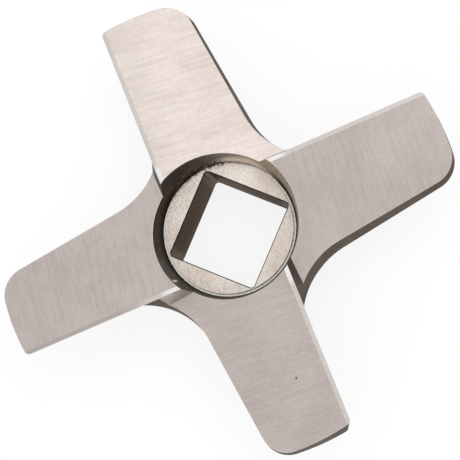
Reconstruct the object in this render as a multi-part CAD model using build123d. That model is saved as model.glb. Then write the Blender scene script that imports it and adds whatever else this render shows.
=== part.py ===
"""Four-bladed cross knife of a household meat grinder, cast in one piece and ground on its face.

Millimetres, +Z up. The axis of rotation is Z, the flat back of the hub lies on Z = 0 and the cutting
edges face up. The first blade's cutting edge runs along +X; the others follow every quarter turn.
"""

import os
from math import atan2, degrees, radians, sqrt, tan

from build123d import *

# --- Whole knife -------------------------------------------------------------------------------------
BLADE_COUNT = 4
TIP_RADIUS = 23.5                # sweep of the blade tips about the axis
CUTTING_PLANE_HEIGHT = 8.7       # from the hub's back to the plane of the four cutting edges

# --- Cutting edge and ground face --------------------------------------------------------------------
EDGE_OFFSET = 4.34               # distance of each cutting edge's line from the axis
LAND_WIDTH = 0.45                # flat strip behind the edge that runs against the hole plate
RELIEF_ANGLE = 9.2               # fall of the ground face behind the land
RAKE_ANGLE = 13.0                # undercut of the leading wall below the edge
STEP_LEAN = 16.3                 # root step below a neighbour's edge, from upright
LEADING_CORNER_RADIUS = 0.5      # where the cutting edge meets the tip

# --- Trailing wall and web, both given at the cutting plane ------------------------------------------
TRAILING_OFFSET = 6.83           # distance of the trailing line from the axis
TRAILING_ANGLE = 7.0             # its slope towards the cutting edge
TRAILING_CORNER_RADIUS = 2.8     # where it meets the tip
WEB_RADIUS = 8.1                 # hollow between a trailing edge and the next cutting edge
WEB_CLEARANCE = 9.3              # nearest that the hollow comes to the axis
CASTING_DRAFT = 4.5              # both walls lean out by this as they go down

# --- Blade backs -------------------------------------------------------------------------------------
BACK_DEPTH_AT_AXIS = 5.2         # below the cutting plane, where the four backs would meet
BACK_RISE = 5.4                  # each back climbs by this towards its tip

# --- Hub ---------------------------------------------------------------------------------------------
HUB_LEDGE = 1.3                  # left of the backs between the boss and the nearest web
HUB_DRAFT = 2.0                  # casting taper of the boss, narrower towards its foot
HUB_ROOT_RADIUS = 0.8            # blend of the boss into the backs
HUB_FOOT_CHAMFER = 0.4

# --- Recess in the face ------------------------------------------------------------------------------
RECESS_RADIUS = 7.65             # at the cutting plane
RECESS_TAPER = 15.0              # its wall closes in as it goes down
RECESS_DEPTH = 3.0               # to the as-cast floor
GROOVE_WIDTH = 0.28              # ring turned round the floor, inwards from the foot of the recess wall
GROOVE_DEPTH = 0.25              # below the floor
GROOVE_CORNER_RADIUS = 0.1       # blend of the ring into the wall

# --- Square drive hole -------------------------------------------------------------------------------
SQUARE_SIZE = 9.2                # across the flats
SQUARE_CORNER_RADIUS = 0.4
SQUARE_LIP = 0.1                 # edge break round the hole in the recess floor

# --- Cutter allowance --------------------------------------------------------------------------------
OVERCUT = 2.0                    # how far a cutting tool runs past what it cuts

recess_floor_height = CUTTING_PLANE_HEIGHT - RECESS_DEPTH
back_height_at_axis = CUTTING_PLANE_HEIGHT - BACK_DEPTH_AT_AXIS
hub_radius = WEB_CLEARANCE - HUB_LEDGE
quarter_turn = 360 / BLADE_COUNT
square_turn = quarter_turn / 2   # puts the square's corners in line with the cutting edges


def slope(angle):
    """Sideways run for each millimetre of height on a wall that leans by an angle in degrees."""
    return tan(radians(angle))


def web_and_trailing_wall(depth):
    """Face of all that lies outside the first blade's trailing wall and web, at one depth.

    The web's arc has the same centre at every depth, so its wall is a cone tangent to the trailing
    wall. Past the arc the boundary runs straight on, alongside the next blade clockwise.
    """
    along = Vector(1, 0).rotate(Axis.Z, TRAILING_ANGLE)
    outward = Vector(0, -1).rotate(Axis.Z, TRAILING_ANGLE)
    across = TRAILING_OFFSET + WEB_RADIUS
    reach = sqrt((WEB_CLEARANCE + WEB_RADIUS) ** 2 - across**2)
    centre = along * reach + outward * across
    radius = WEB_RADIUS - depth * slope(CASTING_DRAFT)
    far = TIP_RADIUS + OVERCUT
    on_trailing_line = centre - outward * radius
    innermost = centre - Vector(radius, 0)
    halfway = centre - (outward + Vector(1, 0)).normalized() * radius
    far_trailing = on_trailing_line + along * far
    corner = Vector(far_trailing.X, innermost.Y - far)
    far_neighbour = Vector(innermost.X, corner.Y)
    edges = [
        ThreePointArc(on_trailing_line, halfway, innermost),
        Line(innermost, far_neighbour),
        Line(far_neighbour, corner),
        Line(corner, far_trailing),
        Line(far_trailing, on_trailing_line),
    ]
    return Pos(Z=CUTTING_PLANE_HEIGHT - depth) * Face(Wire(edges))


def gap_cutter():
    """Space between the first blade's trailing wall and the leading wall of the next one clockwise."""
    deepest = BACK_DEPTH_AT_AXIS + OVERCUT
    gap = loft([web_and_trailing_wall(deepest), web_and_trailing_wall(-OVERCUT)], ruled=True)
    wall_normal = Vector(1, 0, -slope(RAKE_ANGLE)).normalized()
    leading_wall = Plane(Vector(EDGE_OFFSET, 0, CUTTING_PLANE_HEIGHT), z_dir=wall_normal)
    return split(gap, bisect_by=leading_wall, keep=Keep.TOP)


def tip_edges(body, leading):
    """Upright edges at the blade tips, on the leading or on the trailing side."""
    def is_wanted(edge):
        middle = edge @ 0.5
        at_tip = sqrt(middle.X**2 + middle.Y**2) > TIP_RADIUS - LEADING_CORNER_RADIUS
        upright = abs((edge @ 1).Z - (edge @ 0).Z) > BACK_DEPTH_AT_AXIS / 2
        turn = (degrees(atan2(middle.Y, middle.X)) + quarter_turn / 2) % quarter_turn
        return at_tip and upright and (turn > quarter_turn / 2) == leading
    return body.edges().filter_by(is_wanted)


def back_cutter():
    """Everything below the first blade's back, which climbs towards the tip."""
    reach = TIP_RADIUS + OVERCUT
    with BuildSketch(Plane.XZ.offset(-reach)) as section:
        Polygon(
            (-reach, back_height_at_axis - reach * slope(BACK_RISE)),
            (reach, back_height_at_axis + reach * slope(BACK_RISE)),
            (reach, -reach),
            (-reach, -reach),
            align=None,
        )
    return extrude(section.sketch, amount=2 * reach)


def hub_boss():
    """Round boss behind the blades, tapered for casting, up to the recess floor."""
    foot_radius = hub_radius - back_height_at_axis * slope(HUB_DRAFT)
    floor_radius = foot_radius + recess_floor_height * slope(HUB_DRAFT)
    boss = Pos(Z=recess_floor_height / 2) * Cone(foot_radius, floor_radius, recess_floor_height)
    return chamfer(boss.edges().sort_by(Axis.Z)[0], HUB_FOOT_CHAMFER)


def relief_cutter():
    """What the wheel takes off the first blade, from its land back and out from the root step."""
    land_line = EDGE_OFFSET - LAND_WIDTH
    fall_length = TIP_RADIUS + land_line
    lowest = CUTTING_PLANE_HEIGHT - fall_length * slope(RELIEF_ANGLE)
    highest = CUTTING_PLANE_HEIGHT + OVERCUT
    with BuildSketch(Plane.YZ) as fall:
        Polygon(
            (land_line, CUTTING_PLANE_HEIGHT),
            (land_line, highest),
            (land_line - fall_length, highest),
            (land_line - fall_length, lowest),
            align=None,
        )
    wedge = extrude(fall.sketch, amount=TIP_RADIUS + OVERCUT)
    step_normal = Vector(1, 0, slope(STEP_LEAN)).normalized()
    step_wall = Plane(Vector(EDGE_OFFSET, 0, CUTTING_PLANE_HEIGHT), z_dir=step_normal)
    return split(wedge, bisect_by=step_wall, keep=Keep.TOP)


def recess():
    """Conical recess in the face, with a shallow ring turned round its as-cast floor."""
    groove_height = recess_floor_height - GROOVE_DEPTH
    corner_radius = RECESS_RADIUS - (RECESS_DEPTH + GROOVE_DEPTH) * slope(RECESS_TAPER)
    mouth_radius = RECESS_RADIUS + OVERCUT * slope(RECESS_TAPER)
    mouth_height = CUTTING_PLANE_HEIGHT + OVERCUT
    total = mouth_height - groove_height
    cone = Pos(Z=groove_height + total / 2) * Cone(corner_radius, mouth_radius, total)
    cone = fillet(cone.edges().sort_by(Axis.Z)[0], GROOVE_CORNER_RADIUS)
    floor = Pos(Z=groove_height) * Cylinder(corner_radius - GROOVE_WIDTH, 2 * GROOVE_DEPTH)
    return cone - floor


def drive_hole():
    """Square through hole with rounded corners and a broken edge in the recess floor.

    Its corners, not its flats, point along the blades.
    """
    square = Rot(Z=square_turn) * RectangleRounded(SQUARE_SIZE, SQUARE_SIZE, SQUARE_CORNER_RADIUS)
    through = Pos(Z=-OVERCUT) * extrude(square, amount=CUTTING_PLANE_HEIGHT + 2 * OVERCUT)
    lip_size = SQUARE_SIZE + 2 * SQUARE_LIP
    lip_corner_radius = SQUARE_CORNER_RADIUS + SQUARE_LIP
    lip_square = Rot(Z=square_turn) * RectangleRounded(lip_size, lip_size, lip_corner_radius)
    lip = loft([
        Pos(Z=recess_floor_height - SQUARE_LIP) * square,
        Pos(Z=recess_floor_height) * lip_square,
    ], ruled=True)
    return through + lip


def is_hub_root(edge):
    """Whether an edge lies where the boss meets the backs, well inside the webs."""
    points = [edge @ 0, edge @ 0.5, edge @ 1]
    widest = max(sqrt(point.X**2 + point.Y**2) for point in points)
    lowest = min(point.Z for point in points)
    return widest < hub_radius + HUB_LEDGE / 2 and lowest > back_height_at_axis


def cast_cross():
    """Blades and boss as cast: raked and drafted walls, climbing backs, blended hub."""
    turns = [Rot(Z=quarter_turn * k) for k in range(BLADE_COUNT)]
    middle_height = CUTTING_PLANE_HEIGHT - BACK_DEPTH_AT_AXIS / 2
    blades = Pos(Z=middle_height) * Cylinder(TIP_RADIUS, BACK_DEPTH_AT_AXIS)
    blades = blades - [turn * gap_cutter() for turn in turns]
    blades = fillet(tip_edges(blades, leading=True), LEADING_CORNER_RADIUS)
    blades = fillet(tip_edges(blades, leading=False), TRAILING_CORNER_RADIUS)
    blades = blades - [turn * back_cutter() for turn in turns]
    cross = blades + hub_boss()
    return fillet(cross.edges().filter_by(is_hub_root), HUB_ROOT_RADIUS)


def knife():
    """The whole knife: the casting, its four ground faces, the recess and the drive hole."""
    turns = [Rot(Z=quarter_turn * k) for k in range(BLADE_COUNT)]
    ground = cast_cross() - [turn * relief_cutter() for turn in turns]
    return ground - recess() - drive_hole()


os.makedirs("parts", exist_ok=True)
export_step(knife(), "parts/knife.step")
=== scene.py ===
"""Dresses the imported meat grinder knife: ground blades, as-cast walls, recess and hub.

Metres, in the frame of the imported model: +Z is the axis of rotation, the hub's back lies on Z = 0
and the first blade's cutting edge runs along +X.
"""

import logging
import math
from dataclasses import dataclass, field, replace
from enum import Enum
from typing import Optional, Sequence, Union

import bmesh
import bpy
import numpy as np
from mathutils import Matrix, Vector

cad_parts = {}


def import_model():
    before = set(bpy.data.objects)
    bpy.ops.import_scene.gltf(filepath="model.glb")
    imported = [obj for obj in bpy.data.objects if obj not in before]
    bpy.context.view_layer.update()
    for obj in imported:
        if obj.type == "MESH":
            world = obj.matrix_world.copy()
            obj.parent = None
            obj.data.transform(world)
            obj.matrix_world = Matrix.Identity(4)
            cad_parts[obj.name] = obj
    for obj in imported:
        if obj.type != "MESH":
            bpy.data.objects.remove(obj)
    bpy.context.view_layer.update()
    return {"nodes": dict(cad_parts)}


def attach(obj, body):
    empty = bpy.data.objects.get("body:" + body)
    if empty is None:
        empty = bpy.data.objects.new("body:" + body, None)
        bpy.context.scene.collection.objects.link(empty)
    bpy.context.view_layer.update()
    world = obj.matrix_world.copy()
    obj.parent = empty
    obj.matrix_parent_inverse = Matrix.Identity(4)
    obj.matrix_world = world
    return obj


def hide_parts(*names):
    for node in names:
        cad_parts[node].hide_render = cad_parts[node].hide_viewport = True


MM = 0.001
BLADE_COUNT = 4
QUARTER_TURN = 360 / BLADE_COUNT
NODE = "knife"
BODY = "root"

Colour = tuple[float, float, float]
Point = tuple[float, float]
Span = tuple[float, float]
Socket = bpy.types.NodeSocket
Number = Union[Socket, float]
Paint = Union[Socket, Colour]

# Corners of the drive hole seen from above, in millimetres from the axis.
SQUARE_CORNERS: tuple[Point, ...] = ((6.5, 0.0), (0.0, 6.5), (-6.5, 0.0), (0.0, -6.5))

# A cast skin is duller at a glancing angle than bare steel is.
SKIN_GLANCING: Colour = (0.50, 0.45, 0.42)

# The part of a noise's range that is drawn out to run from 0 to 1.
NOISE_SPAN: Span = (0.30, 0.70)
LINE_TONE_SPAN: Span = (0.32, 0.68)
PIT_SPAN: Span = (0.06, 0.26)
PATCH_SPAN: Span = (0.44, 0.56)

# How many finer layers each noise has, and how rough the grinding lines' noise is.
GRAIN_DETAIL = 4.0
MOTTLE_DETAIL = 2.0
PATCH_DETAIL = 4.0
LINE_ROUGHNESS = 0.6

# Pits of the cast grain: the scale of their cells against the grain's, and their depth in it.
PIT_CELL_SHARE = 0.7
PIT_DEPTH_SHARE = 0.6

# A bevel with this material index takes the material of the faces beside it.
AS_BESIDE = -1

log = logging.getLogger("knife")


class Region(Enum):
    """Surfaces of the knife that are finished differently; the value is the material's index."""

    FACE_0 = 0
    FACE_1 = 1
    FACE_2 = 2
    FACE_3 = 3
    LAND = 4
    WALL = 5
    STEP = 6
    RECESS_WALL = 7
    FLOOR = 8
    RING = 9
    SQUARE = 10
    BACK = 11
    # A lighter copy of the root step's finish for the steps that face along Y: painted light.
    STEP_WORN = 12
    LIP = 13
    EDGE = 14


@dataclass(frozen=True)
class KnifeSizes:
    """Real sizes of the knife and of its worn edges, in millimetres, and angles in degrees."""

    recess_radius: float = 7.65
    floor_height: float = 5.7
    square_size: float = 9.2
    square_lip: float = 0.1
    step_reach: float = 9.9
    ground_edge_round: float = 0.035
    cast_edge_round: float = 0.08
    round_steps: int = 2
    crease: float = 25.0
    land_crease: float = 5.0
    flat_angle: float = 0.3
    merge_gap: float = 0.0005
    tolerance: float = 0.03


@dataclass(frozen=True)
class RegionLimits:
    """Limits that tell one region of the surface from another.

    A name with `up` holds the upward part of a face's normal, which is 1 on a level face. `inward`
    holds its part away from the axis, which is below 0 where the face looks towards the axis. The
    other limits are distances, in millimetres, from one of the knife's sizes.
    """

    back_up: float = -0.5
    boss_reach: float = 1.2
    boss_drop: float = 1.0
    ground_up: Span = (0.97, 0.9995)
    ground_rise: float = 0.5
    step_up: Span = (0.15, 0.6)
    step_inset: float = 0.5
    inward: float = -0.2
    wall_drop: float = 0.3
    floor_up: float = 0.95
    floor_inset: float = 0.3
    ring_drop: float = 0.1
    hole_up: float = 0.9
    lip_up: float = 0.3


@dataclass(frozen=True)
class Tint:
    """A change of colour that sets in over a distance, in millimetres.

    The distance runs along `direction`, or outwards from `centre` seen from above where no
    direction is given. With `end` below `start` the colour fills the near side. With `patch` above
    0 the colour comes in ragged patches of about that size, in millimetres.
    """

    colour: Colour
    start: float
    end: float
    direction: Optional[tuple[float, float, float]] = None
    centre: Point = (0.0, 0.0)
    patch: float = 0.0


@dataclass(frozen=True)
class GroundFinish:
    """A face left by the grinding wheel, with fine lines across the blade.

    Line sizes are in millimetres, the slant in degrees and the mottling's scale in patches for each
    metre. The three shares say how much lines, mottling and speckle each change the colour.
    """

    name: str = "ground_face"
    colour: Colour = (0.715, 0.637, 0.602)
    shade: Colour = (0.532, 0.464, 0.432)
    roughness: float = 0.36
    roughness_spread: float = 0.03
    line_spacing: float = 0.14
    line_length: float = 4.0
    line_depth: float = 0.0007
    slant: float = 4.4
    speckle_size: float = 0.45
    mottle_scale: float = 190.0
    line_share: float = 0.44
    mottle_share: float = 0.34
    speckle_share: float = 0.22
    tints: tuple[Tint, ...] = ()


@dataclass(frozen=True)
class CastFinish:
    """An as-cast or tumbled surface with a fine pitted grain.

    Grain sizes are in millimetres and the mottling's scale in patches for each metre. Where the
    tone is `shade` the roughness is `rougher` above its value, and where it is `colour` it is
    `smoother` below it. `glancing` tints the reflection at a glancing angle.
    """

    name: str
    colour: Colour
    shade: Colour
    roughness: float
    grain_size: float
    grain_depth: float
    rougher: float = 0.08
    smoother: float = 0.05
    mottle_scale: float = 260.0
    grain_share: float = 0.55
    mottle_share: float = 0.45
    metallic: float = 1.0
    pit_share: float = 0.5
    glancing: Colour = (1.0, 1.0, 1.0)
    tints: tuple[Tint, ...] = ()


@dataclass(frozen=True)
class LineLayer:
    """Grinding lines of one width: their share of the scale, detail and share of the tone."""

    scale: float
    detail: float
    tone: float


# A nick in the rim of the recess, in the ground face and the recess wall alike, with a painted
# highlight on it: a near-white spot.
NICK_HIGHLIGHT = Tint((1.0, 0.98, 0.96), start=0.20, end=0.08, centre=(-6.70, -3.10))


class Sketch:
    """Short ways to add and join shader nodes in one tree."""

    def __init__(self, tree: bpy.types.NodeTree) -> None:
        """Empties a node tree and keeps it to build in."""
        self.tree = tree
        tree.nodes.clear()

    def node(self, kind: str, **settings: object) -> bpy.types.Node:
        """Adds a node.

        Args:
            kind: Blender's name for the node type.
            settings: Properties of the node to set.

        Returns:
            The new node.
        """
        made = self.tree.nodes.new(kind)
        for name, value in settings.items():
            setattr(made, name, value)
        return made

    def join(self, source: Socket, target: Socket) -> None:
        """Links one socket to another."""
        self.tree.links.new(source, target)

    def put(self, value: Union[Number, Paint], target: Socket) -> None:
        """Links a value to a socket, or sets it there.

        Args:
            value: A socket, a number or a colour.
            target: The input that takes it.
        """
        if isinstance(value, Socket):
            self.join(value, target)
        elif isinstance(value, tuple):
            target.default_value = (*value, 1.0)
        else:
            target.default_value = value

    def maths(self, operation: str, first: Number, second: Number) -> Socket:
        """Adds a Math node.

        Args:
            operation: The operation's name.
            first: A socket or a number.
            second: A socket or a number.

        Returns:
            The result's socket.
        """
        made = self.node("ShaderNodeMath", operation=operation)
        self.put(first, made.inputs[0])
        self.put(second, made.inputs[1])
        return made.outputs[0]

    def shared(self, *parts: tuple[Socket, float]) -> Socket:
        """Adds values up, each by its share.

        Args:
            parts: The socket and the share of each value.

        Returns:
            The sum's socket.
        """
        total, *others = [self.maths("MULTIPLY", value, share) for value, share in parts]
        for other in others:
            total = self.maths("ADD", total, other)
        return total

    def spread(self, value: Socket, low: float, high: float) -> Socket:
        """Maps a value from 0 to 1 onto low to high, smoothly.

        Args:
            value: The value's socket.
            low: What 0 becomes.
            high: What 1 becomes.

        Returns:
            The mapped value's socket.
        """
        made = self.node("ShaderNodeMapRange", interpolation_type="SMOOTHSTEP")
        self.join(value, made.inputs["Value"])
        made.inputs["To Min"].default_value = low
        made.inputs["To Max"].default_value = high
        return made.outputs["Result"]

    def window(self, value: Socket, span: Span) -> Socket:
        """Maps a span of a value onto 0 to 1, smoothly, and holds it there beyond the span.

        Args:
            value: The value's socket.
            span: The value that becomes 0, and the one that becomes 1.

        Returns:
            The mapped value's socket.
        """
        made = self.node("ShaderNodeMapRange", interpolation_type="SMOOTHSTEP")
        self.join(value, made.inputs["Value"])
        made.inputs["From Min"].default_value, made.inputs["From Max"].default_value = span
        return made.outputs["Result"]

    def blend(self, factor: Socket, low: Paint, high: Paint) -> Socket:
        """Mixes two colours.

        Args:
            factor: How much of the second colour shows.
            low: A socket or a colour.
            high: A socket or a colour.

        Returns:
            The mixed colour's socket.
        """
        made = self.node("ShaderNodeMix", data_type="RGBA")
        self.join(factor, made.inputs["Factor"])
        for name, value in (("A", low), ("B", high)):
            self.put(value, next(s for s in made.inputs if s.name == name and s.type == "RGBA"))
        return next(s for s in made.outputs if s.type == "RGBA")

    def noise(self, vector: Socket, scale: Number, detail: float) -> bpy.types.Node:
        """Adds a Noise Texture.

        Args:
            vector: Coordinates that it reads, in metres.
            scale: How many grains it has for each metre.
            detail: How many finer layers it has.

        Returns:
            The texture's node; its first output is the noise as a number.
        """
        made = self.node("ShaderNodeTexNoise")
        self.join(vector, made.inputs["Vector"])
        self.put(scale, made.inputs["Scale"])
        made.inputs["Detail"].default_value = detail
        return made

    def choose(
        self, factor: Socket, first: bpy.types.Node, second: bpy.types.Node
    ) -> bpy.types.Node:
        """Mixes two shader nodes.

        Args:
            factor: 0 shows the first and 1 the second.
            first: A shader node.
            second: A shader node.

        Returns:
            The Mix Shader node.
        """
        made = self.node("ShaderNodeMixShader")
        for socket, target in zip((factor, first.outputs[0], second.outputs[0]), made.inputs):
            self.join(socket, target)
        return made


class GroupSketch(Sketch):
    """A sketch of a new node group, with the nodes for its inputs and outputs."""

    def __init__(self, name: str, inputs: Sequence[str], outputs: Sequence[str]) -> None:
        """Makes an empty group with named sockets.

        Args:
            name: The group's name.
            inputs: Names of the number inputs; an input named Vector comes before them.
            outputs: Names of the outputs, all of them numbers.
        """
        super().__init__(bpy.data.node_groups.new(name, "ShaderNodeTree"))
        sockets = self.tree.interface
        sockets.new_socket("Vector", in_out="INPUT", socket_type="NodeSocketVector")
        for label in inputs:
            sockets.new_socket(label, in_out="INPUT", socket_type="NodeSocketFloat")
        for label in outputs:
            sockets.new_socket(label, in_out="OUTPUT", socket_type="NodeSocketFloat")
        self.source = self.node("NodeGroupInput")
        self.result = self.node("NodeGroupOutput")

    def given(self, name: str) -> Socket:
        """What the group's input of that name gives."""
        return self.source.outputs[name]

    def give(self, value: Socket, name: str) -> None:
        """Puts a value out under that name."""
        self.join(value, self.result.inputs[name])


class SurfaceGroups:
    """Node groups that several finishes share: grinding lines, cast grain and soft mottling."""

    fine_lines: LineLayer = LineLayer(scale=1.0, detail=3.0, tone=0.70)
    coarse_lines: LineLayer = LineLayer(scale=0.40, detail=2.0, tone=0.30)

    def __init__(self) -> None:
        """Builds the three groups."""
        self.lines = self._grinding_lines()
        self.grain = self._cast_grain()
        self.mottle = self._mottle()

    def _grinding_lines(self) -> bpy.types.NodeTree:
        """Lines along Y: noise drawn out along them by Stretch, at two widths.

        Returns:
            The group's tree, with Tone and Height outputs from 0 to 1.
        """
        s = GroupSketch("Grinding lines", ["Scale", "Stretch"], ["Tone", "Height"])
        shape = s.node("ShaderNodeCombineXYZ")
        shape.inputs["X"].default_value = 1.0
        s.join(s.given("Stretch"), shape.inputs["Y"])
        s.join(s.given("Stretch"), shape.inputs["Z"])
        drawn = s.node("ShaderNodeVectorMath", operation="MULTIPLY")
        s.join(s.given("Vector"), drawn.inputs[0])
        s.join(shape.outputs[0], drawn.inputs[1])
        fine = self._line_layer(s, drawn.outputs[0], self.fine_lines)
        coarse = self._line_layer(s, drawn.outputs[0], self.coarse_lines)
        both = s.shared((fine, self.fine_lines.tone), (coarse, self.coarse_lines.tone))
        s.give(s.window(both, LINE_TONE_SPAN), "Tone")
        s.give(s.window(fine, NOISE_SPAN), "Height")
        return s.tree

    @staticmethod
    def _line_layer(s: GroupSketch, vector: Socket, layer: LineLayer) -> Socket:
        """Adds grinding lines of one width.

        Args:
            s: The sketch of the group.
            vector: The drawn-out coordinates.
            layer: The lines' width and detail.

        Returns:
            The noise's socket.
        """
        scale = s.maths("MULTIPLY", s.given("Scale"), layer.scale)
        texture = s.noise(vector, scale, layer.detail)
        texture.inputs["Roughness"].default_value = LINE_ROUGHNESS
        return texture.outputs[0]

    @staticmethod
    def _cast_grain() -> bpy.types.NodeTree:
        """Pits of a cast skin: fine noise, with sparse darker pits where a cell noise is low.

        Returns:
            The group's tree, with Tone and Pits outputs from 0 to 1, and a Height output.
        """
        s = GroupSketch("Cast grain", ["Scale"], ["Tone", "Pits", "Height"])
        noise = s.noise(s.given("Vector"), s.given("Scale"), GRAIN_DETAIL)
        cells = s.node("ShaderNodeTexVoronoi")
        s.join(s.given("Vector"), cells.inputs["Vector"])
        s.join(s.maths("MULTIPLY", s.given("Scale"), PIT_CELL_SHARE), cells.inputs["Scale"])
        tone = s.window(noise.outputs[0], NOISE_SPAN)
        pits = s.maths("SUBTRACT", 1.0, s.window(cells.outputs["Distance"], PIT_SPAN))
        s.give(tone, "Tone")
        s.give(pits, "Pits")
        s.give(s.maths("SUBTRACT", tone, s.maths("MULTIPLY", pits, PIT_DEPTH_SHARE)), "Height")
        return s.tree

    @staticmethod
    def _mottle() -> bpy.types.NodeTree:
        """Slow change of tone over a surface: one soft noise.

        Returns:
            The group's tree, with a Tone output from 0 to 1.
        """
        s = GroupSketch("Mottle", ["Scale"], ["Tone"])
        noise = s.noise(s.given("Vector"), s.given("Scale"), MOTTLE_DETAIL)
        s.give(s.window(noise.outputs[0], NOISE_SPAN), "Tone")
        return s.tree


class SteelFinishes:
    """Makes the knife's materials, one for each region."""

    def __init__(self, groups: SurfaceGroups) -> None:
        """Keeps the shared node groups that the materials place."""
        self.groups = groups

    @staticmethod
    def _material(name: str) -> tuple[Sketch, bpy.types.Node, bpy.types.Material]:
        """Starts a material with one Principled BSDF.

        Args:
            name: The material's name.

        Returns:
            The sketch of its tree, the shader node and the material.
        """
        material = bpy.data.materials.new(name)
        material.use_nodes = True
        s = Sketch(material.node_tree)
        shader = s.node("ShaderNodeBsdfPrincipled")
        output = s.node("ShaderNodeOutputMaterial")
        s.join(shader.outputs[0], output.inputs["Surface"])
        return s, shader, material

    @staticmethod
    def _place(
        s: Sketch, group: bpy.types.NodeTree, vector: Socket, **values: float
    ) -> bpy.types.Node:
        """Places a node group in a material.

        Args:
            s: The material's sketch.
            group: The group's tree.
            vector: Coordinates that it reads.
            values: Its number inputs by name.

        Returns:
            The group's node.
        """
        made = s.node("ShaderNodeGroup", node_tree=group)
        s.join(vector, made.inputs["Vector"])
        for name, value in values.items():
            made.inputs[name].default_value = value
        return made

    @staticmethod
    def _distance(s: Sketch, place: Socket, tint: Tint) -> Socket:
        """Measures how far a point is along a tint's direction, or from its centre.

        Args:
            s: The material's sketch.
            place: Object coordinates.
            tint: The tint.

        Returns:
            The distance's socket, in metres.
        """
        if tint.direction is not None:
            along = s.node("ShaderNodeVectorMath", operation="DOT_PRODUCT")
            s.join(place, along.inputs[0])
            along.inputs[1].default_value = tint.direction
            return along.outputs["Value"]
        level = s.node("ShaderNodeVectorMath", operation="MULTIPLY_ADD")
        s.join(place, level.inputs[0])
        level.inputs[1].default_value = (1.0, 1.0, 0.0)
        level.inputs[2].default_value = (-tint.centre[0] * MM, -tint.centre[1] * MM, 0.0)
        away = s.node("ShaderNodeVectorMath", operation="LENGTH")
        s.join(level.outputs[0], away.inputs[0])
        return away.outputs["Value"]

    def _tinted(self, s: Sketch, place: Socket, colour: Socket, tints: Sequence[Tint]) -> Socket:
        """Lays tints over a colour, one after another.

        Args:
            s: The material's sketch.
            place: Object coordinates.
            colour: The colour before any tint.
            tints: The tints, in the order in which they are laid.

        Returns:
            The tinted colour's socket.
        """
        for tint in tints:
            reach = s.window(self._distance(s, place, tint), (tint.start * MM, tint.end * MM))
            if tint.patch:
                ragged = s.noise(place, 1 / (tint.patch * MM), PATCH_DETAIL)
                reach = s.maths("MULTIPLY", reach, s.window(ragged.outputs[0], PATCH_SPAN))
            colour = s.blend(reach, colour, tint.colour)
        return colour

    @staticmethod
    def _bump(s: Sketch, height: Socket, depth: float, shader: bpy.types.Node) -> None:
        """Joins a height to the shader's normal.

        Args:
            s: The material's sketch.
            height: The height's socket.
            depth: How deep a height of 1 is, in millimetres.
            shader: The shader node.
        """
        bump = s.node("ShaderNodeBump")
        bump.inputs["Distance"].default_value = depth * MM
        s.join(height, bump.inputs["Height"])
        s.join(bump.outputs[0], shader.inputs["Normal"])

    def ground(self, blade: int, finish: GroundFinish) -> bpy.types.Material:
        """Ground face of one blade, with its lines across that blade.

        Args:
            blade: Which quarter turn the blade stands at; BLADE_COUNT for what all blades share.
            finish: Colours and sizes of the ground finish.

        Returns:
            The material.
        """
        s, shader, material = self._material(f"{finish.name}_{blade}")
        place = s.node("ShaderNodeTexCoord").outputs["Object"]
        turned = s.node("ShaderNodeMapping")
        s.join(place, turned.inputs["Vector"])
        angle = math.radians(-QUARTER_TURN * blade + finish.slant)
        turned.inputs["Rotation"].default_value = (0.0, 0.0, angle)
        lines = self._place(
            s,
            self.groups.lines,
            turned.outputs[0],
            Scale=1 / (finish.line_spacing * MM),
            Stretch=finish.line_spacing / finish.line_length,
        )
        mottle = self._place(s, self.groups.mottle, place, Scale=finish.mottle_scale)
        speckle = self._place(s, self.groups.grain, place, Scale=1 / (finish.speckle_size * MM))
        tone = s.shared(
            (mottle.outputs["Tone"], finish.mottle_share),
            (speckle.outputs["Tone"], finish.speckle_share),
            (lines.outputs["Tone"], finish.line_share),
        )
        colour = self._tinted(s, place, s.blend(tone, finish.shade, finish.colour), finish.tints)
        s.join(colour, shader.inputs["Base Color"])
        low = finish.roughness - finish.roughness_spread / 2
        rough = s.spread(lines.outputs["Tone"], low + finish.roughness_spread, low)
        s.join(rough, shader.inputs["Roughness"])
        shader.inputs["Metallic"].default_value = 1.0
        self._bump(s, lines.outputs["Height"], finish.line_depth, shader)
        return material

    def cast(self, finish: CastFinish) -> bpy.types.Material:
        """As-cast surface.

        Args:
            finish: Name, colours and sizes of the cast finish.

        Returns:
            The material.
        """
        s, shader, material = self._material(finish.name)
        place = s.node("ShaderNodeTexCoord").outputs["Object"]
        grain = self._place(s, self.groups.grain, place, Scale=1 / (finish.grain_size * MM))
        mottle = self._place(s, self.groups.mottle, place, Scale=finish.mottle_scale)
        tone = s.shared(
            (grain.outputs["Tone"], finish.grain_share),
            (mottle.outputs["Tone"], finish.mottle_share),
        )
        pits = s.maths("MULTIPLY", grain.outputs["Pits"], finish.pit_share)
        pitted = s.maths("MULTIPLY", tone, s.maths("SUBTRACT", 1.0, pits))
        colour = self._tinted(s, place, s.blend(pitted, finish.shade, finish.colour), finish.tints)
        s.join(colour, shader.inputs["Base Color"])
        rough = s.spread(
            tone, finish.roughness + finish.rougher, finish.roughness - finish.smoother
        )
        s.join(rough, shader.inputs["Roughness"])
        shader.inputs["Metallic"].default_value = finish.metallic
        s.put(finish.glancing, shader.inputs["Specular Tint"])
        self._bump(s, grain.outputs["Height"], finish.grain_depth, shader)
        return material


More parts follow.
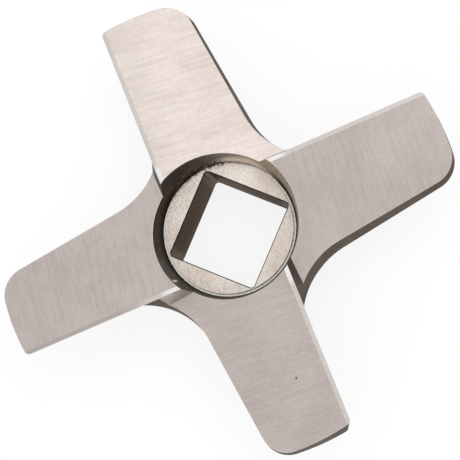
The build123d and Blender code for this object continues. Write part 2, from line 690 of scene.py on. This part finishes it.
@dataclass
class Knife:
    """The knife's visible body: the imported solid's own surface, its edges slightly worn round."""

    source: bpy.types.Object
    sizes: KnifeSizes = field(default_factory=KnifeSizes)
    limits: RegionLimits = field(default_factory=RegionLimits)

    def _merged_copy(self) -> bpy.types.Mesh:
        """Copies the solid's mesh, joins its loose triangles and clears lines on flat faces.

        Returns:
            The new mesh, with no materials.
        """
        mesh = self.source.data.copy()
        mesh.name = "knife_surface"
        work = bmesh.new()
        work.from_mesh(mesh)
        bmesh.ops.remove_doubles(work, verts=work.verts, dist=self.sizes.merge_gap * MM)
        flat = math.radians(self.sizes.flat_angle)
        bmesh.ops.dissolve_limit(work, angle_limit=flat, verts=work.verts, edges=work.edges)
        work.to_mesh(mesh)
        work.free()
        mesh.materials.clear()
        return mesh

    @staticmethod
    def _faces(mesh: bpy.types.Mesh) -> tuple[np.ndarray, np.ndarray]:
        """Reads the faces of a mesh.

        Args:
            mesh: The mesh, in metres.

        Returns:
            The normals and the centres, one row for each face.
        """
        normal = np.empty(len(mesh.polygons) * 3)
        centre = np.empty(len(mesh.polygons) * 3)
        mesh.polygons.foreach_get("normal", normal)
        mesh.polygons.foreach_get("center", centre)
        return normal.reshape(-1, 3), centre.reshape(-1, 3)

    def regions(self, mesh: bpy.types.Mesh) -> np.ndarray:
        """Tells which finish each face has, from where it lies and which way it points.

        Args:
            mesh: The merged surface, in metres.

        Returns:
            One Region value for each face.
        """
        size, limit = self.sizes, self.limits
        recess, floor, close = size.recess_radius, size.floor_height, size.tolerance
        normal, centre = self._faces(mesh)
        centre = centre / MM
        up, height = normal[:, 2], centre[:, 2]
        radius = np.hypot(centre[:, 0], centre[:, 1])
        radial = normal[:, 0] * centre[:, 0] + normal[:, 1] * centre[:, 1]
        outward = radial / np.maximum(radius, close)

        found = np.full(len(up), Region.WALL.value)
        found[up < limit.back_up] = Region.BACK.value
        boss = (radius < recess + limit.boss_reach) & (height < floor - limit.boss_drop)
        found[boss & (outward > 0)] = Region.BACK.value

        facing = np.degrees(np.arctan2(normal[:, 1], normal[:, 0])) / QUARTER_TURN
        falling, level = limit.ground_up
        ground = (up > falling) & (up < level) & (height > floor + limit.ground_rise)
        found[ground] = (np.round(facing[ground]).astype(int) + 1) % BLADE_COUNT
        found[(up > level) & (height > height.max() - close)] = Region.LAND.value

        steep, gentle = limit.step_up
        leaning = (up > steep) & (up < gentle)
        leaning &= (radius > recess - limit.step_inset) & (radius < size.step_reach)
        lit_sideways = np.abs(normal[:, 1]) > np.abs(normal[:, 0])
        found[leaning] = Region.STEP.value
        # Steps that face along Y take the lighter copy of the step's finish: painted light where
        # they catch it.
        found[leaning & lit_sideways] = Region.STEP_WORN.value

        inside = (radius < recess + close) & (height > floor - limit.wall_drop)
        found[inside & (outward < limit.inward)] = Region.RECESS_WALL.value
        flat = (up > limit.floor_up) & (radius < recess - limit.floor_inset)
        flat &= height < floor + close
        found[flat] = Region.FLOOR.value
        found[flat & (height < floor - limit.ring_drop)] = Region.RING.value

        # The square stands on its corner, so the sum of |x| and |y| is the same along its sides.
        across = np.sum(np.abs(centre[:, :2]), axis=1) * math.sqrt(0.5)
        hole = (across < size.square_size / 2 + size.square_lip + close) & (outward < 0)
        hole &= up < limit.hole_up
        found[hole & (height < floor + close)] = Region.SQUARE.value
        lip = (up > limit.lip_up) & (height > floor - size.square_lip)
        found[hole & lip] = Region.LIP.value
        return found

    def _mark_edges(self, mesh: bpy.types.Mesh, found: np.ndarray) -> None:
        """Marks which edges stay sharp and which are worn round.

        An edge is sharp where its two faces meet at more than the crease angle, or where a ground
        face meets its land. A creased edge is worn where it stands out, but not along the recess
        floor, its ring or the drive hole.

        Args:
            mesh: The merged surface, in metres.
            found: One Region value for each face.
        """
        normal, centre = self._faces(mesh)
        totals = np.empty(len(mesh.polygons), dtype=np.int32)
        loop_edge = np.empty(len(mesh.loops), dtype=np.int32)
        mesh.polygons.foreach_get("loop_total", totals)
        mesh.loops.foreach_get("edge_index", loop_edge)
        order = np.argsort(loop_edge, kind="stable")
        sides = np.repeat(np.arange(len(totals)), totals)[order].reshape(-1, 2)
        one, other = sides[:, 0], sides[:, 1]
        turn = np.degrees(np.arccos(np.clip(np.sum(normal[one] * normal[other], axis=1), -1, 1)))
        convex = np.sum((centre[other] - centre[one]) * normal[one], axis=1) < 0
        land = (found[one] == Region.LAND.value) != (found[other] == Region.LAND.value)
        creased = turn > self.sizes.crease
        deep = [Region.FLOOR.value, Region.RING.value, Region.SQUARE.value, Region.LIP.value]
        hidden = np.isin(found[one], deep) | np.isin(found[other], deep)
        worn = creased & convex & ~hidden
        ground = (found[one] <= Region.LAND.value) | (found[other] <= Region.LAND.value)
        sharp = creased | (land & (turn > self.sizes.land_crease))
        self._edge_values(mesh, "sharp_edge", "BOOLEAN", sharp)
        self._edge_values(mesh, "ground_edge", "FLOAT", (worn & ground).astype(np.float32))
        self._edge_values(mesh, "cast_edge", "FLOAT", (worn & ~ground).astype(np.float32))

    @staticmethod
    def _edge_values(mesh: bpy.types.Mesh, name: str, kind: str, values: np.ndarray) -> None:
        """Writes one value for each edge into a named attribute."""
        made = mesh.attributes.get(name) or mesh.attributes.new(name, kind, "EDGE")
        made.data.foreach_set("value", values)

    def _round(self, body: bpy.types.Object, attribute: str, width: float, material: int) -> None:
        """Rounds the edges that an attribute picks.

        Args:
            body: The object.
            attribute: The edge attribute with the weights.
            width: How wide the rounding is, in millimetres.
            material: The rounded strip's material index, or AS_BESIDE.
        """
        bevel = body.modifiers.new(attribute, "BEVEL")
        bevel.limit_method = "WEIGHT"
        bevel.edge_weight = attribute
        bevel.width = width * MM
        bevel.segments = self.sizes.round_steps
        bevel.material = material
        bevel.harden_normals = True
        bevel.use_clamp_overlap = True

    def build(self, materials: dict[Region, bpy.types.Material]) -> bpy.types.Object:
        """Builds the dressed body.

        Args:
            materials: The material of each region.

        Returns:
            The knife's object, at the origin.
        """
        mesh = self._merged_copy()
        for region in Region:
            mesh.materials.append(materials[region])
        found = self.regions(mesh)
        mesh.polygons.foreach_set("material_index", found.astype(np.int32))
        mesh.polygons.foreach_set("use_smooth", np.ones(len(found), dtype=bool))
        self._mark_edges(mesh, found)
        mesh.update()
        body = bpy.data.objects.new("ground_knife", mesh)
        bpy.context.scene.collection.objects.link(body)
        self._round(body, "ground_edge", self.sizes.ground_edge_round, Region.EDGE.value)
        self._round(body, "cast_edge", self.sizes.cast_edge_round, AS_BESIDE)
        for region in Region:
            log.info("region %s: %d faces", region.name.lower(), (found == region.value).sum())
        return body


@dataclass(frozen=True)
class CameraPlace:
    """Where the camera stands and which way it looks, in millimetres, but `reach` in metres."""

    position: tuple[float, float, float] = (30.33, -63.146, 266.634)
    right: tuple[float, float, float] = (0.91166, -0.36257, -0.19343)
    up: tuple[float, float, float] = (0.39536, 0.90225, 0.17214)
    back: tuple[float, float, float] = (0.11211, -0.23341, 0.96590)
    lens: float = 212.27
    sensor: float = 36.0
    reach: float = 10.0


@dataclass(frozen=True)
class LampPlace:
    """A soft box that faces the knife; distance and width are in metres, the power in watts."""

    name: str
    direction: tuple[float, float, float]
    distance: float
    width: float
    power: float


@dataclass(frozen=True)
class Studio:
    """Camera, pale floor and soft light; floor sizes are in metres, but its gap in millimetres."""

    camera: CameraPlace = CameraPlace()
    lamps: tuple[LampPlace, ...] = (
        LampPlace("soft_box_right", (0.42, 0.25, 0.87), distance=0.60, width=0.30, power=0.39),
        LampPlace("soft_box_left", (-0.75, -0.45, 0.50), distance=0.70, width=0.30, power=0.30),
    )
    room_level: float = 1.0
    backdrop_level: float = 1.0
    floor_size: float = 4.0
    floor_gap: float = 0.02
    floor_colour: Colour = (0.20, 0.20, 0.20)
    floor_glow: float = 0.84

    def build(self) -> None:
        """Makes the camera, floor, lamps and world."""
        self._camera()
        self._floor()
        for lamp in self.lamps:
            self._lamp(lamp)
        self._world()
        bpy.context.scene.view_settings.view_transform = "Standard"

    def _camera(self) -> None:
        """Sets the camera from its position and its three directions."""
        place = self.camera
        data = bpy.data.cameras.new("camera")
        data.lens = place.lens
        data.sensor_width = place.sensor
        data.clip_end = place.reach
        camera = bpy.data.objects.new("camera", data)
        axes = Matrix((place.right, place.up, place.back)).transposed()
        camera.matrix_world = Matrix.Translation(Vector(place.position) * MM) @ axes.to_4x4()
        bpy.context.scene.collection.objects.link(camera)
        bpy.context.scene.camera = camera

    @staticmethod
    def _seen(s: Sketch) -> Socket:
        """Tells the rays that show the background: camera, glossy and transmission rays.

        Args:
            s: The sketch of the floor's or the world's tree.

        Returns:
            The socket, 1 for such a ray and 0 for any other.
        """
        rays = s.node("ShaderNodeLightPath").outputs
        carried = s.maths("MAXIMUM", rays["Is Glossy Ray"], rays["Is Transmission Ray"])
        return s.maths("MAXIMUM", rays["Is Camera Ray"], carried)

    @staticmethod
    def _light(s: Sketch, kind: str, strength: float) -> bpy.types.Node:
        """Adds a light of the node's own colour: white for Emission, pale grey for Background.

        Args:
            s: The sketch of the floor's or the world's tree.
            kind: Blender's name for the node type.
            strength: How strong it is.

        Returns:
            The light's node.
        """
        made = s.node(kind)
        made.inputs["Strength"].default_value = strength
        return made

    def _floor(self) -> None:
        """Lays a large pale floor that keeps the knife's shadow and reads white away from it.

        It is clear from below, so that the knife's back can be seen.
        """
        half = self.floor_size / 2
        depth = -self.floor_gap * MM
        mesh = bpy.data.meshes.new("floor")
        outline = ((-half, -half), (half, -half), (half, half), (-half, half))
        mesh.from_pydata([(x, y, depth) for x, y in outline], [], [(0, 1, 2, 3)])
        floor = bpy.data.objects.new("floor", mesh)
        bpy.context.scene.collection.objects.link(floor)
        mesh.materials.append(self._floor_white())

    def _floor_white(self) -> bpy.types.Material:
        """Makes the floor's material: matt, with a glow for the rays that show the background.

        Returns:
            The material.
        """
        material = bpy.data.materials.new("floor_white")
        material.use_nodes = True
        s = Sketch(material.node_tree)
        matt = s.node("ShaderNodeBsdfDiffuse")
        s.put(self.floor_colour, matt.inputs["Color"])
        glow = self._light(s, "ShaderNodeEmission", self.floor_glow)
        dark = self._light(s, "ShaderNodeEmission", 0.0)
        total = s.node("ShaderNodeAddShader")
        s.join(matt.outputs[0], total.inputs[0])
        s.join(s.choose(self._seen(s), dark, glow).outputs[0], total.inputs[1])
        below = s.node("ShaderNodeNewGeometry").outputs["Backfacing"]
        one_sided = s.choose(below, total, s.node("ShaderNodeBsdfTransparent"))
        output = s.node("ShaderNodeOutputMaterial")
        s.join(one_sided.outputs[0], output.inputs["Surface"])
        return material

    @staticmethod
    def _lamp(lamp: LampPlace) -> None:
        """Hangs one soft box, facing the knife.

        Args:
            lamp: The soft box's name, place, width and power.
        """
        data = bpy.data.lights.new(lamp.name, "AREA")
        data.shape = "SQUARE"
        data.size = lamp.width
        data.energy = lamp.power
        made = bpy.data.objects.new(lamp.name, data)
        away = Vector(lamp.direction).normalized()
        turn = away.to_track_quat("Z", "Y").to_matrix().to_4x4()
        made.matrix_world = Matrix.Translation(away * lamp.distance) @ turn
        bpy.context.scene.collection.objects.link(made)

    def _world(self) -> None:
        """Lights the room evenly, and sets what the rays that show the background see there."""
        world = bpy.data.worlds.new("room")
        bpy.context.scene.world = world
        world.use_nodes = True
        s = Sketch(world.node_tree)
        room = self._light(s, "ShaderNodeBackground", self.room_level)
        backdrop = self._light(s, "ShaderNodeBackground", self.backdrop_level)
        output = s.node("ShaderNodeOutputWorld")
        s.join(s.choose(self._seen(s), room, backdrop).outputs[0], output.inputs["Surface"])


def ground_finishes() -> dict[Region, GroundFinish]:
    """Gives the finishes of the ground surfaces.

    Two blades are plain, one has a nick by the recess with a painted highlight on it and one a pit.
    The land has a painted highlight near the recess and is darker towards -X, and a worn edge has
    the land's finish without either.

    Returns:
        The finishes by region.
    """
    plain = GroundFinish()
    pit = Tint((0.16, 0.13, 0.11), start=0.18, end=0.05, centre=(0.95, -16.94))
    # A painted highlight on the land near the recess, at the blades' roots.
    painted_root_highlight = Tint((0.98, 0.96, 0.94), start=9.6, end=8.6)
    # The land is darker towards -X.
    darker_towards_minus_x = Tint((0.53, 0.475, 0.44), start=9.0, end=13.0, direction=(-1.0, 0.0, 0.0))
    land = GroundFinish(
        name="land",
        colour=(0.80, 0.75, 0.71),
        shade=(0.68, 0.63, 0.59),
        roughness=0.30,
        line_depth=0.001,
        tints=(darker_towards_minus_x, painted_root_highlight),
    )
    return {
        Region.LAND: land,
        Region.EDGE: replace(land, name="edge", tints=()),
        Region.FACE_0: plain,
        Region.FACE_1: plain,
        # This blade carries the nick's painted highlight.
        Region.FACE_2: replace(plain, tints=(NICK_HIGHLIGHT,)),
        Region.FACE_3: replace(plain, tints=(pit,)),
    }


def recess_tints() -> tuple[Tint, ...]:
    """Gives the marks of the recess wall, in the order in which they are laid.

    A painted reflection lightens the wall's dark oxide towards one side. Painted shade darkens it
    along its foot, and there a painted highlight lies on one side and it is pitted in patches on
    another. The nick's painted highlight runs into it from the ground face.

    Returns:
        The tints.
    """
    return (
        # A painted reflection lightens the wall towards this direction.
        Tint((0.47, 0.40, 0.315), start=2.0, end=7.4, direction=(0.92, 0.39, 0.0)),
        # Painted shade darkens the wall towards its foot.
        Tint((0.055, 0.043, 0.033), start=6.9, end=5.8, direction=(0.0, 0.0, 1.0)),
        # A painted highlight along the wall's foot on one side.
        Tint((1.0, 0.90, 0.80), start=-1.6, end=-0.4, direction=(0.53, 0.848, -1.2)),
        Tint(
            (0.19, 0.15, 0.115), start=-1.2, end=-0.7, direction=(-0.12, 0.993, -1.2), patch=0.35
        ),
        NICK_HIGHLIGHT,
    )


def cast_finishes() -> dict[Region, CastFinish]:
    """Gives the finishes of the as-cast surfaces.

    Returns:
        The finishes by region.
    """
    step = CastFinish(
        name="root_step",
        colour=(0.085, 0.062, 0.048),
        shade=(0.040, 0.029, 0.022),
        roughness=0.45,
        grain_size=0.20,
        grain_depth=0.010,
    )
    ring_pits = Tint((0.34, 0.28, 0.225), start=7.8, end=8.1, centre=(0.18, -1.49), patch=0.35)
    # Painted shade: a fixed brown at each inside corner of the drive hole.
    painted_corner_shade = tuple(
        Tint((0.20, 0.165, 0.14), start=1.3, end=0.4, centre=corner) for corner in SQUARE_CORNERS
    )
    return {
        Region.LIP: CastFinish(
            name="square_lip",
            colour=(0.050, 0.041, 0.034),
            shade=(0.022, 0.018, 0.015),
            roughness=0.55,
            grain_size=0.25,
            grain_depth=0.012,
        ),
        Region.WALL: CastFinish(
            name="cast_wall",
            colour=(0.188, 0.165, 0.150),
            shade=(0.119, 0.103, 0.092),
            roughness=0.42,
            grain_size=0.22,
            grain_depth=0.012,
            glancing=SKIN_GLANCING,
        ),
        Region.STEP: step,
        # The lighter copy of the root step is painted light, for the steps that face along Y.
        Region.STEP_WORN: replace(
            step,
            name="root_step_lit",
            colour=(0.560, 0.490, 0.430),
            shade=(0.360, 0.310, 0.265),
        ),
        Region.RECESS_WALL: CastFinish(
            name="recess_wall",
            colour=(0.117, 0.094, 0.073),
            shade=(0.046, 0.035, 0.027),
            roughness=0.46,
            grain_size=0.20,
            grain_depth=0.014,
            tints=recess_tints(),
        ),
        Region.FLOOR: CastFinish(
            name="recess_floor",
            colour=(1.0, 0.945, 0.880),
            shade=(0.760, 0.640, 0.545),
            roughness=0.50,
            grain_size=0.20,
            grain_depth=0.020,
            metallic=0.5,
            pit_share=0.9,
        ),
        Region.RING: CastFinish(
            name="floor_ring",
            colour=(0.960, 0.920, 0.860),
            shade=(0.800, 0.740, 0.670),
            roughness=0.38,
            grain_size=0.25,
            grain_depth=0.006,
            metallic=0.7,
            tints=(ring_pits,),
        ),
        Region.SQUARE: CastFinish(
            name="square_walls",
            colour=(0.120, 0.101, 0.083),
            shade=(0.078, 0.065, 0.053),
            roughness=0.45,
            grain_size=0.20,
            grain_depth=0.010,
            glancing=SKIN_GLANCING,
            tints=painted_corner_shade,
        ),
        Region.BACK: CastFinish(
            name="cast_back",
            colour=(0.230, 0.205, 0.188),
            shade=(0.150, 0.131, 0.118),
            roughness=0.44,
            grain_size=0.24,
            grain_depth=0.014,
            glancing=SKIN_GLANCING,
        ),
    }


def knife_materials() -> dict[Region, bpy.types.Material]:
    """Makes every region's material.

    Returns:
        The materials by region.
    """
    make = SteelFinishes(SurfaceGroups())
    made: dict[Region, bpy.types.Material] = {}
    for region, finish in ground_finishes().items():
        blade = min(region.value, BLADE_COUNT)
        made[region] = make.ground(blade, finish)
    for region, finish in cast_finishes().items():
        made[region] = make.cast(finish)
    return made


def main() -> None:
    """Loads the frame, dresses the knife and sets the studio round it."""
    logging.basicConfig(level=logging.INFO, format="%(message)s")
    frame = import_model()
    body = Knife(frame["nodes"][NODE]).build(knife_materials())
    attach(body, BODY)
    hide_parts(NODE)
    log.info("made %s from node %s", body.name, NODE)
    Studio().build()


if __name__ == "__main__":
    main()
